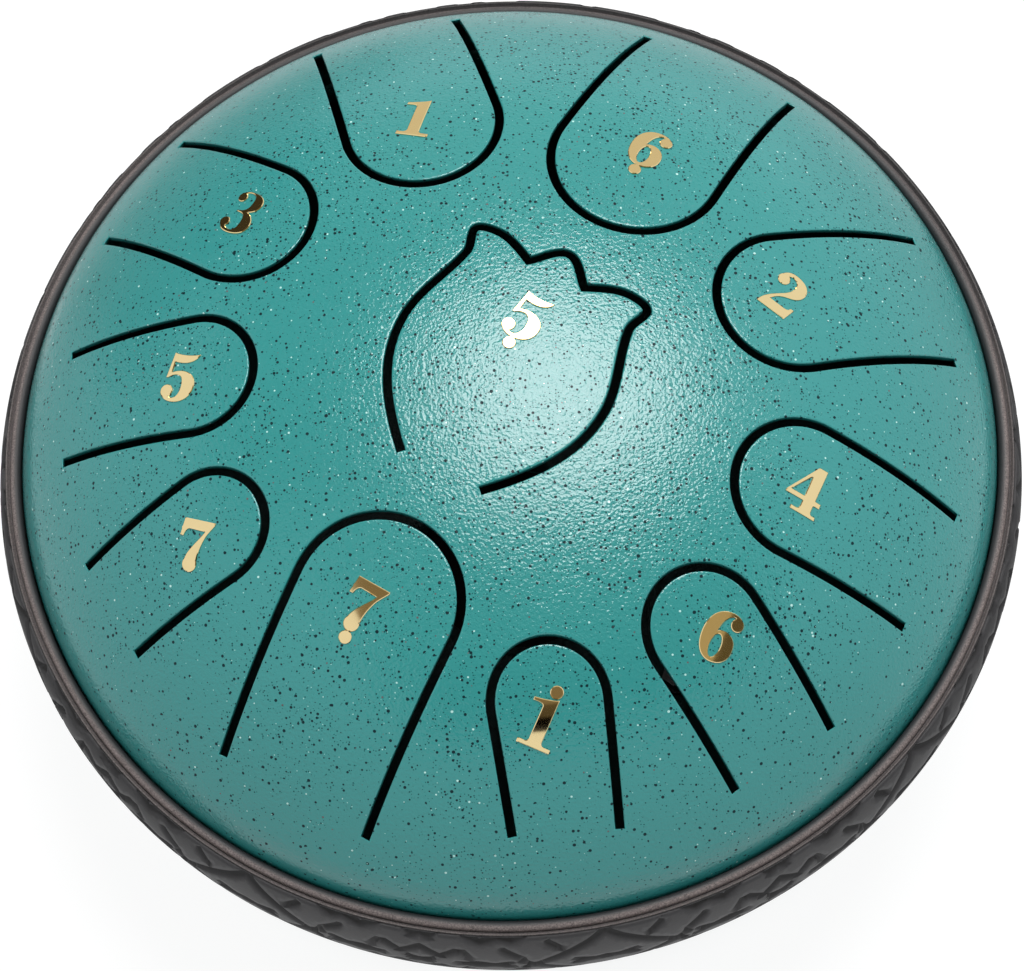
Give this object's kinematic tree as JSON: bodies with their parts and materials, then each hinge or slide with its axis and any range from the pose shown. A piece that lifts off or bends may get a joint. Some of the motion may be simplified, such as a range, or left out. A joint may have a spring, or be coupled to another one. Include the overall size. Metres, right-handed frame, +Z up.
{
  "type": "steel tongue drum",
  "caption": "Steel tongue drum: domed steel bowls joined at the rim, tongues and a tulip cut in the top, gold numerals, a rubber rim band and rubber feet.",
  "frame": {"origin": "centre of the drum on the surface that it stands on", "axes": "+Z up along the drum's axis; -Y towards the side from which the picture was taken; +X to the right in the picture"},
  "size_m": [0.2519, 0.252, 0.1379],
  "materials": {
    "teal_paint": "gloss teal lacquer with dark and pale flecks over a fine orange-peel texture",
    "band_rubber": "matt dark grey moulded rubber with a cut relief",
    "gold_metal": "polished gold-coloured thin metal",
    "foot_rubber": "matt black rubber",
    "zinc_steel": "plain zinc-plated steel"
  },
  "bodies": {
    "root": {"top_shell": "teal_paint", "bottom_shell": "teal_paint", "rubber_band": "band_rubber", "numeral_low_5": "gold_metal", "numeral_low_6": "gold_metal", "numeral_low_7": "gold_metal", "numeral_1": "gold_metal", "numeral_2": "gold_metal", "numeral_3": "gold_metal", "numeral_4": "gold_metal", "numeral_5": "gold_metal", "numeral_6": "gold_metal", "numeral_7": "gold_metal", "numeral_high_1": "gold_metal", "foot_front_left": "foot_rubber", "foot_front_right": "foot_rubber", "foot_back_left": "foot_rubber", "foot_back_right": "foot_rubber", "foot_screws": "zinc_steel", "foot_cup_washers": "zinc_steel", "inner_washers": "zinc_steel", "foot_nuts": "zinc_steel"}
  },
  "joints": []
}
